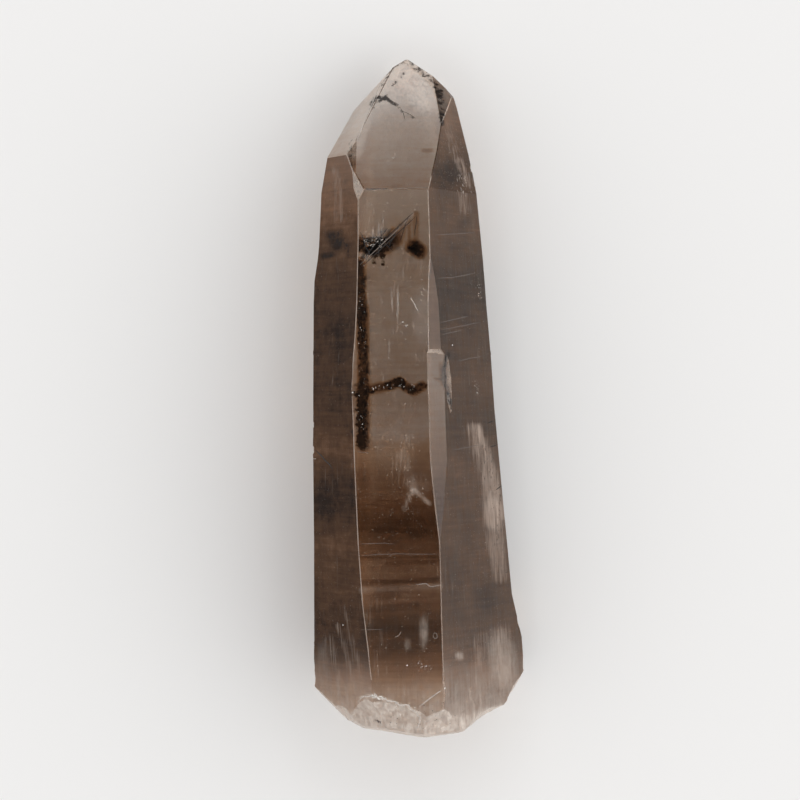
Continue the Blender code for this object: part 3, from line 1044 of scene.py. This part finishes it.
class Flaw(Enum):
    """What a flaw in the crystal is made of: its name, colour and roughness.

    Manganese oxide is black with a blue cast, and iron-brown specks are seen through stone. A veil is
    a healed crack full of tiny bubbles, which scatter light and look white, and a faint veil has
    fewer of them. The glints are painted highlights: near-white flakes for the brightest spots, where
    the skin catches the light. A growth line is a fine step in the skin, which is etched a little
    paler than the face.
    """

    OXIDE = ("manganese_oxide", "#15110F", 0.5)
    SOOT = ("brown_specks", "#241509", 0.6)
    VEIL = ("bubble_veil", "#DDD2C8", 0.5)
    PALE = ("faint_veil", "#8F8075", 0.5)
    # Painted highlights: near-white flakes for where the skin catches the light
    GLINT = ("bubbles", "#FFFAF2", 0.4)
    STEP = ("growth_steps", "#6F635D", 0.5)

    def material(self) -> bpy.types.Material:
        """Builds the flaw's material, mottled from flake to flake.

        Returns:
            The material.
        """
        name, colour, roughness = self.value
        known = bpy.data.materials.get(name)
        if known:
            return known
        material, tree = new_material(name)
        place = add_node(tree, "ShaderNodeTexCoord").outputs["Object"]
        grain = {"Vector": place, "Scale": 1 / (FLAW_MOTTLE_MM * MM)}
        mottle = add_node(tree, "ShaderNodeTexNoise", grain)
        deeper = tuple(channel * FLAW_DEPTH for channel in linear(colour)[:3]) + (1.0,)
        hues = {SHARE: mottle, COLOUR_A: deeper, COLOUR_B: linear(colour)}
        mix = add_node(tree, "ShaderNodeMix", hues, data_type="RGBA")
        surface = {"Base Color": mix.outputs[MIXED_COLOUR], "Roughness": roughness}
        shader = add_node(tree, "ShaderNodeBsdfPrincipled", surface)
        add_node(tree, "ShaderNodeOutputMaterial", {"Surface": shader})
        return material


@dataclass(frozen=True)
class Swarm:
    """Small flakes strewn along a line, on the skin or under it.

    spine is the line, as seen places from one end to the other. spread is how far the flakes stray
    from it, flake the least and most length of one, stretch how many times longer than wide it is,
    turn the way that its long side points, from the line's own, and depth how far under the skin the
    flakes lie, along the way that light takes to the camera.
    """

    name: str
    flaw: Flaw
    spine: Course
    spread: float
    count: int
    flake: tuple[float, float]
    depth: tuple[float, float] = (0.1, 1.2)
    stretch: float = 1.6
    turn: float = 0.0


@dataclass(frozen=True)
class Threads:
    """Thin lines on the skin or just under it, each given by the seen places that it passes."""

    name: str
    flaw: Flaw
    courses: tuple[Course, ...]
    width: float = 0.26
    depth: float = 0.0
    wobble: float = 0.05


# Flakes that lie on the skin itself
ON_SKIN = (-0.05, -0.01)

# The glints, sparkles, flecks, snow and bright points are painted highlights: pale flakes on the skin where
# it catches the light
SWARMS = (
    Swarm("strip_sparkles", Flaw.GLINT, ((-9.2, 26), (-9.6, 8), (-9.2, -10.8)), 0.8, 40,
          (0.16, 0.4), ON_SKIN),
    # Brown specks in the painted shade of the strip down the clear face's left rim
    Swarm("shaded_strip_specks", Flaw.SOOT, ((-8.6, 30), (-8.4, 15), (-8.6, -10.6)), 0.8, 160, (0.5, 1.4),
          (0.3, 1.5)),
    Swarm("blotch_soot", Flaw.SOOT, ((-9.4, 36.6), (-6, 37), (-1.2, 38.6)), 1.4, 150, (0.6, 1.6),
          (0.4, 1.6)),
    Swarm("blotch_glints", Flaw.VEIL, ((-8.6, 38.6), (-3.4, 37.6)), 0.8, 46, (0.3, 0.9), ON_SKIN,
          5, 40),
    Swarm("blotch_right", Flaw.SOOT, ((2.8, 37.2), (4.8, 35)), 0.9, 70, (0.6, 1.4), (0.4, 1.6)),
    Swarm("band_glints", Flaw.VEIL, ((-6.6, 2.6), (0, 4), (4.8, 3)), 0.7, 26, (0.25, 0.7),
          ON_SKIN, 3, 60),
    Swarm("tip_curl", Flaw.VEIL, ((-2.2, 58.6), (-1.6, 58), (-1, 58.3)), 0.1, 14, (0.2, 0.4),
          ON_SKIN, 2),
    Swarm("fleck_pair", Flaw.GLINT, ((0.2, 18.4), (1.8, 17.6)), 0.4, 9, (0.3, 0.6), ON_SKIN, 2.4),
    Swarm("centre_veil", Flaw.PALE, ((-6, -4), (-2, -12), (1, -20)), 2.6, 90, (0.3, 1.4),
          (0, 0.4), 7),
    Swarm("veil_left_arm", Flaw.PALE, ((3.4, -21.4), (2.2, -23.4), (1, -26.2)), 0.35, 30,
          (0.3, 1.2), (-0.02, 0.1), 6),
    Swarm("veil_right_arm", Flaw.VEIL, ((3.4, -21.4), (5, -23), (7.2, -24.9)), 0.45, 24,
          (0.2, 0.8), (-0.02, 0.1), 5),
    Swarm("low_wisps", Flaw.VEIL, ((4.2, -63), (5.6, -64.2), (7.6, -64.6)), 0.35, 30, (0.2, 0.7),
          ON_SKIN, 4),
    Swarm("feather_glints", Flaw.PALE, ((19.6, -11), (23.2, -22), (24, -38)), 0.9, 70,
          (0.4, 1.8), ON_SKIN, 10),
    Swarm("shoulder_streaks", Flaw.VEIL, ((14.6, 54.4), (15.6, 49)), 0.8, 30, (0.3, 1.2), ON_SKIN,
          8),
    Swarm("right_edge_flecks", Flaw.GLINT, ((18.9, 27.6), (19.3, 24.6)), 0.25, 8, (0.2, 0.4),
          ON_SKIN),
    Swarm("right_glints", Flaw.GLINT, ((18, 4), (18.7, 1.6)), 0.22, 6, (0.3, 0.6), ON_SKIN, 2.5),
    Swarm("root_crumbs", Flaw.VEIL, ((-9.4, -71.4), (-6, -71.2), (-2.4, -72.4), (3.4, -74.6)), 0.4,
          60, (0.2, 0.6), ON_SKIN),
    Swarm("root_snow", Flaw.GLINT, ((-6.8, -71), (-4, -71.6)), 0.24, 40, (0.25, 0.7), ON_SKIN),
    Swarm("root_grit", Flaw.SOOT, ((-14, -74), (0, -77.4), (16, -75)), 1.6, 60, (0.16, 0.4),
          ON_SKIN),
    Swarm("low_point", Flaw.GLINT, ((1.7, -63.6), (1.8, -63.7)), 0.04, 3, (0.35, 0.5), ON_SKIN, 1),
    Swarm("ridge_point", Flaw.GLINT, ((10.7, -69), (10.9, -69.2)), 0.12, 5, (0.35, 0.5), ON_SKIN,
          1),
    Swarm("left_point", Flaw.GLINT, ((-13.7, -54), (-13.7, -54.1)), 0.05, 2, (0.35, 0.5), ON_SKIN,
          1),
    Swarm("edge_point", Flaw.GLINT, ((-11.4, 1.9), (-11.3, 1.8)), 0.1, 4, (0.4, 0.6), ON_SKIN, 1),
    Swarm("chip_point", Flaw.GLINT, ((12.6, 13.3), (12.7, 13.1)), 0.08, 3, (0.3, 0.45), ON_SKIN, 1),
)

THREADS = (
    Threads("front_edge", Flaw.PALE, (((-8.9, 50.3), (6.7, 51.05)),), 0.16, -0.03, 0.01),
    # A painted highlight along the tip face's left edge
    Threads("tip_edge_highlight", Flaw.VEIL, (((-3.2, 79.4), (-10.4, 62.2)),), 0.3, -0.03, 0.02),
    Threads("needle", Flaw.PALE, (((-9.6, 32.4), (3.4, 44.6)),), 0.15, -0.02, 0),
    Threads("needle_shade", Flaw.SOOT, (((-9.2, 31.9), (3.7, 44)), ((-3.4, 38.8), (3.2, 45))), 0.2,
            -0.01, 0.03),
    Threads("scratch", Flaw.VEIL, (((2.5, 24.6), (4.3, 21.4)),), 0.15, 0),
    Threads("left_crack", Flaw.OXIDE, (((-20.4, -12), (-18.5, -13.7), (-16.1, -16.5)),), 0.3, -0.03),
    Threads("blotch_fibres", Flaw.OXIDE, (
        ((-9.6, 40.4), (-7, 34.2)), ((-8.6, 34), (-3, 41.2)), ((-6, 39.6), (-1.6, 36)),
        ((-4.4, 40.6), (-5.4, 33.8)), ((0, 42.4), (-2.6, 37)), ((1.8, 43.6), (0.2, 38.4)),
        ((3.9, 44.2), (3.6, 39.4)), ((-9.8, 39), (-5, 38.8))), 0.16, 0, 0.12),
    Threads("tip_branches", Flaw.SOOT, (((0.2, 69.9), (0.7, 68.9), (1.1, 67.4)),
                                        ((0.4, 69.4), (1.6, 68.8), (3.8, 67.6))), 0.14, 0, 0.06),
    Threads("level_lines", Flaw.STEP, (
        ((-9.6, -34.5), (-4, -34.4), (-1.2, -34.6)), ((-9.6, -37.3), (0, -36.9), (8.9, -37.1)),
        ((-9.6, -55.2), (-4, -55)), ((-7.4, -12.6), (-10.4, -12.4))), 0.1, 0),
    Threads("bright_level_line", Flaw.PALE, (((3.8, -44.3), (6.2, -44.1), (7.2, -44.8), (10.1, -44.4)),),
            0.24, -0.01),
    Threads("curved_line", Flaw.PALE, (((-1.2, -56.9), (-0.3, -56.6), (0.2, -55.6)),), 0.2, -0.01),
    Threads("ring", Flaw.PALE, (((8, -56.2), (8.4, -55.8), (8.9, -56.1), (8.9, -57), (8.4, -57.4),
                                 (8, -57), (8, -56.2)),), 0.16, -0.01),
    Threads("right_steps", Flaw.STEP, (
        ((9.1, 29.2), (13, 29.5), (18, 30.4)), ((9.8, 18.6), (16.8, 20.2)), ((10, 16.8), (19.2, 18.7)),
        ((10.2, 15.7), (15, 16.8)), ((8.6, 39.6), (18, 40.2)), ((12.6, -12), (19, -10.8)),
        ((14, 9.4), (20, 10.6))), 0.12, 0),
    Threads("edge_ticks", Flaw.OXIDE, (((21, -5.6), (22.4, -5)), ((21.6, -11.3), (23.2, -10.8)),
                                       ((23, -21.6), (24.8, -20.2)), ((25.4, -41.4), (26.6, -41))),
            0.22, -0.02),
    Threads("scar_rim", Flaw.VEIL, (((-10, -72.4), (-9.1, -71.3), (-6, -71), (-2.4, -72.2),
                                     (1.7, -73.6), (4.1, -75), (5, -77), (4, -79.4)),), 0.34, 0, 0.3),
    Threads("root_ridge", Flaw.VEIL, (((10.1, -69.6), (7.4, -71.4), (4.6, -73.7)),), 0.2, 0, 0.2),
)


def measured(course: Course) -> tuple[np.ndarray, np.ndarray, np.ndarray]:
    """Measures a line.

    Args:
        course: The places that it passes.

    Returns:
        The places one a row, the length of each leg, and the way from the start to each place.
    """
    spine = np.array(course, float)
    steps = np.linalg.norm(np.diff(spine, axis=0), axis=1)
    return spine, steps, np.concatenate(([0.0], np.cumsum(steps)))


def joined(shapes: list[Shape]) -> Shape:
    """Puts shapes together.

    Args:
        shapes: Each one's points, and its faces numbered from 0.

    Returns:
        All the points, and the faces numbered on.
    """
    points, faces = [], []
    for own_points, own_faces in shapes:
        base = len(points)
        points += own_points
        faces += [tuple(base + corner for corner in face) for face in own_faces]
    return points, faces


@dataclass
class Flaws:
    """The small flaws that have a shape of their own, set in place on the skin or under it."""

    skin: bpy.types.Object
    seed: int = 5
    rim_points: int = 5
    rim_swing: float = 0.3
    rim_reach: Pair = (0.6, 1.0)
    thinness: float = 0.18
    tilt: float = 0.05
    heading_spread: float = 0.2
    farthest_stray: float = 2.0
    smallness: int = 2
    thread_step: float = 0.5
    thread_end: float = 0.35
    thread_taper: float = 3.0
    smooth_over: int = 3

    def __post_init__(self) -> None:
        """Prepares the skin for finding where the camera's rays enter it."""
        mesh = self.skin.data
        points = [tuple(vertex.co / MM) for vertex in mesh.vertices]
        self.tree = BVHTree.FromPolygons(points, [tuple(face.vertices) for face in mesh.polygons])
        self.random = np.random.default_rng(self.seed)

    def below(self, across: float, up: float, depth: float) -> tuple[Vector, Vector] | None:
        """The point that the camera sees at a place, some way inside the crystal.

        Args:
            across: Millimetres to the right of the middle of the view.
            up: Millimetres above the middle of the view.
            depth: Millimetres from the skin, along the bent ray.

        Returns:
            The point and the skin's normal above it, or None beside the crystal.
        """
        eye = Vector(EYE)
        aim = Vector((EYE[0] + across, EYE[1] + up, MIDDLE_HEIGHT)) - eye
        ray = aim.normalized()
        hit, normal, _, _ = self.tree.ray_cast(eye, ray)
        if hit is None:
            return None
        slow = 1 / SmokyQuartz.ior
        facing = -normal.dot(ray)
        bent = ray * slow + normal * (slow * facing - math.sqrt(1 - slow**2 * (1 - facing**2)))
        return hit + bent * depth, normal

    def flake(
        self, centre: Vector, normal: Vector, heading: Vector, size: float, stretch: float
    ) -> Shape:
        """One flake: an uneven rim with a point above and below it.

        Args:
            centre: Its middle, in millimetres.
            normal: The way that its flat side faces.
            heading: The way that its long side points.
            size: Its length, in millimetres.
            stretch: How many times longer than wide it is.

        Returns:
            Its points and its faces, numbered from 0.
        """
        along = (heading - normal * heading.dot(normal)).normalized()
        across = normal.cross(along)
        points = []
        for i in range(self.rim_points):
            angle = math.tau * (i + self.random.uniform(-self.rim_swing, self.rim_swing)) / self.rim_points
            reach = size / 2 * self.random.uniform(*self.rim_reach)
            points.append(
                centre
                + along * (reach * math.cos(angle))
                + across * (reach * math.sin(angle) / stretch)
            )
        thick = normal * (size * self.thinness / 2)
        points += [centre + thick, centre - thick]
        top, bottom = self.rim_points, self.rim_points + 1
        faces = []
        for i in range(self.rim_points):
            j = (i + 1) % self.rim_points
            faces += [(i, j, top), (j, i, bottom)]
        return points, faces

    def strew(self, swarm: Swarm) -> bpy.types.Object:
        """Makes one swarm of flakes as a single mesh.

        Args:
            swarm: What to strew, and where.

        Returns:
            The new object.
        """
        spine, steps, travelled = measured(swarm.spine)
        flakes = []
        turn = math.radians(swarm.turn)
        farthest = self.farthest_stray * swarm.spread
        for _ in range(swarm.count):
            way = self.random.uniform(0, travelled[-1])
            leg = min(int(np.searchsorted(travelled, way, side="right")) - 1, len(steps) - 1)
            course = (spine[leg + 1] - spine[leg]) / steps[leg]
            stray = self.random.normal(0, swarm.spread)
            stray = float(np.clip(stray, -farthest, farthest))
            place = spine[leg] + course * (way - travelled[leg])
            place += np.array((-course[1], course[0])) * stray
            found = self.below(place[0], place[1], self.random.uniform(*swarm.depth))
            if found is None:
                continue
            centre, normal = found
            wobble = Vector(self.random.normal(0, self.tilt, 3))
            heading = Vector((course[0], course[1], 0.0))
            sway = self.random.normal(0, self.heading_spread)
            heading.rotate(Quaternion(Vector((0, 0, 1)), turn + sway))
            low, high = swarm.flake
            size = low + (high - low) * self.random.uniform(0, 1) ** self.smallness
            facing = (normal + wobble).normalized()
            flakes.append(self.flake(centre, facing, heading, size, swarm.stretch))
        return self.piece(swarm.name, swarm.flaw, joined(flakes))

    def piece(self, name: str, flaw: Flaw, shape: Shape) -> bpy.types.Object:
        """Makes an object of a shape in millimetres.

        Args:
            name: Its name.
            flaw: What it is made of.
            shape: Its points and its faces.

        Returns:
            The new object.
        """
        mesh = bpy.data.meshes.new(name)
        mesh.from_pydata([point * MM for point in shape[0]], [], shape[1])
        mesh.materials.append(flaw.material())
        piece = bpy.data.objects.new(name, mesh)
        bpy.context.scene.collection.objects.link(piece)
        return piece

    def thread(self, course: Course, threads: Threads) -> Shape:
        """One thin line with a flat diamond section, drawn out to its ends.

        Args:
            course: The seen places that it passes.
            threads: Its width, depth and wobble.

        Returns:
            Its points and its faces, numbered from 0.
        """
        spine, _, travelled = measured(course)
        count = max(3, int(travelled[-1] / self.thread_step) + 1)
        ways = np.linspace(0, travelled[-1], count)
        rough = self.random.normal(0, threads.wobble, count + self.smooth_over - 1)
        stray = np.convolve(rough, np.ones(self.smooth_over) / self.smooth_over, "valid")
        across = np.interp(ways, travelled, spine[:, 0]) + stray
        up = np.interp(ways, travelled, spine[:, 1]) + stray
        found = [self.below(x, y, threads.depth) for x, y in zip(across, up)]
        found = [place for place in found if place]
        points, faces = [], []
        for i, (centre, normal) in enumerate(found):
            before, after = found[max(i - 1, 0)][0], found[min(i + 1, len(found) - 1)][0]
            along = (after - before).normalized()
            side = normal.cross(along).normalized()
            end = min(i, len(found) - 1 - i) / (len(found) - 1) * 2
            full = min(end * self.thread_taper, 1.0)
            width = threads.width * (self.thread_end + (1 - self.thread_end) * full)
            thick = width * self.thinness
            points += [
                centre + side * width / 2,
                centre + normal * thick,
                centre - side * width / 2,
                centre - normal * thick,
            ]
            if i:
                base = len(points) - 8
                for j in range(4):
                    k = (j + 1) % 4
                    faces.append((base + j, base + k, base + 4 + k, base + 4 + j))
        last = len(points) - 4
        faces += [(3, 2, 1, 0), (last, last + 1, last + 2, last + 3)]
        return points, faces

    def draw(self, threads: Threads) -> bpy.types.Object:
        """Makes a set of threads as a single mesh.

        Args:
            threads: What to draw, and where.

        Returns:
            The new object.
        """
        lines = [self.thread(course, threads) for course in threads.courses]
        return self.piece(threads.name, threads.flaw, joined(lines))

    def build(self) -> list[bpy.types.Object]:
        """Makes every swarm and every set of threads.

        Returns:
            The new objects.
        """
        return [self.strew(swarm) for swarm in SWARMS] + [self.draw(threads) for threads in THREADS]


@dataclass
class Studio:
    """A plain pale floor under soft light, seen from straight above.

    dark_cap is the angle round the zenith, in degrees, where little light stands, as round any
    camera, so that the top face shows what is inside it, and cap_edge is how wide its soft edge is.
    The paper's fibres are as coarse as the view needs to show them.
    """

    lens: float = 121.875
    sensor: float = 36.0
    nearest_m: float = 0.01
    floor_colour: str = "#F0EFEE"
    floor_size_m: float = 6.0
    floor_gap: float = 0.3
    floor_roughness: float = 0.9
    floor_shine: float = 0.1
    fibre_mm: float = 20 / 3
    fibre_depth_mm: float = 0.1
    fibre_strength: float = 0.05
    fibre_detail: float = 3.0
    fibre_roughness: float = 0.6
    dome_strength: float = 1.36
    dome_lean: float = 0.3
    cap_strength: float = 0.06
    dark_cap: float = 24.0
    cap_edge: float = 12.0
    bounces: int = 20
    glossy_bounces: int = 12

    def camera(self) -> bpy.types.Object:
        """Makes the camera and gives it to the scene.

        Returns:
            The camera.
        """
        data = bpy.data.cameras.new("camera")
        data.lens = self.lens
        data.sensor_width = self.sensor
        data.clip_start = self.nearest_m
        camera = bpy.data.objects.new("camera", data)
        camera.location = Vector(EYE) * MM
        bpy.context.scene.collection.objects.link(camera)
        bpy.context.scene.camera = camera
        return camera

    def floor(self) -> bpy.types.Object:
        """Makes the floor: matte paper, white and slightly warm.

        Returns:
            The floor.
        """
        material, tree = new_material("matte_paper")
        grain = {
            "Scale": self.floor_size_m / (self.fibre_mm * MM),
            "Detail": self.fibre_detail,
            "Roughness": self.fibre_roughness,
        }
        fibres = add_node(tree, "ShaderNodeTexNoise", grain)
        relief = {
            "Strength": self.fibre_strength,
            "Distance": self.fibre_depth_mm * MM,
            "Height": fibres,
        }
        surface = {
            "Base Color": linear(self.floor_colour),
            "Roughness": self.floor_roughness,
            "Specular IOR Level": self.floor_shine,
            "Normal": add_node(tree, "ShaderNodeBump", relief),
        }
        shader = add_node(tree, "ShaderNodeBsdfPrincipled", surface)
        add_node(tree, "ShaderNodeOutputMaterial", {"Surface": shader})
        bm = bmesh.new()
        bmesh.ops.create_grid(bm, x_segments=2, y_segments=2, size=self.floor_size_m / 2)
        mesh = bpy.data.meshes.new("studio_floor")
        bm.to_mesh(mesh)
        bm.free()
        mesh.materials.append(material)
        floor = bpy.data.objects.new("studio_floor", mesh)
        floor.location.z = -self.floor_gap * MM
        bpy.context.scene.collection.objects.link(floor)
        return floor

    def dome(self) -> bpy.types.World:
        """Makes the soft light from all sides, with a dark cap at the zenith.

        Returns:
            The world.
        """
        world = bpy.data.worlds.new("soft_dome")
        world.use_nodes = True
        tree = world.node_tree
        tree.nodes.clear()
        place = add_node(tree, "ShaderNodeTexCoord")
        split = add_node(tree, "ShaderNodeSeparateXYZ", {0: place.outputs["Generated"]})
        light = add_node(
            tree,
            "ShaderNodeMapRange",
            {
                "Value": split.outputs["Z"],
                "From Min": math.cos(math.radians(self.dark_cap + self.cap_edge)),
                "From Max": math.cos(math.radians(self.dark_cap)),
                "To Min": self.dome_strength,
                "To Max": self.cap_strength,
            },
            interpolation_type="SMOOTHSTEP",
        )
        side = {0: split.outputs["X"], 1: self.dome_lean, 2: 1.0}
        lean = add_node(tree, "ShaderNodeMath", side, operation="MULTIPLY_ADD")
        leaning = add_node(tree, "ShaderNodeMath", {0: light, 1: lean}, operation="MULTIPLY")
        glow = {"Color": (1, 1, 1, 1), "Strength": leaning}
        background = add_node(tree, "ShaderNodeBackground", glow)
        add_node(tree, "ShaderNodeOutputWorld", {"Surface": background})
        bpy.context.scene.world = world
        return world

    def light_paths(self) -> None:
        """Lets light bounce often enough to leave the stone again, and shows colours as they are."""
        scene = bpy.context.scene
        scene.view_settings.view_transform = "Standard"
        scene.cycles.max_bounces = self.bounces
        scene.cycles.glossy_bounces = self.glossy_bounces
        scene.cycles.transmission_bounces = self.bounces


def main() -> None:
    """Builds the crystal's skin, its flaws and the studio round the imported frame."""
    logging.basicConfig(level=logging.INFO, format="%(message)s")
    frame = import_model()
    studio = Studio()
    studio.camera()
    studio.floor()
    studio.dome()
    studio.light_paths()
    skin = CrystalSkin().build(frame["nodes"][NODE])
    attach(skin, BODY)
    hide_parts(NODE)
    log.info("%s: %d faces", skin.name, len(skin.data.polygons))
    for flaw in Flaws(skin).build():
        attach(flaw, BODY)
        log.info("%s: %d faces", flaw.name, len(flaw.data.polygons))


if __name__ == "__main__":
    main()
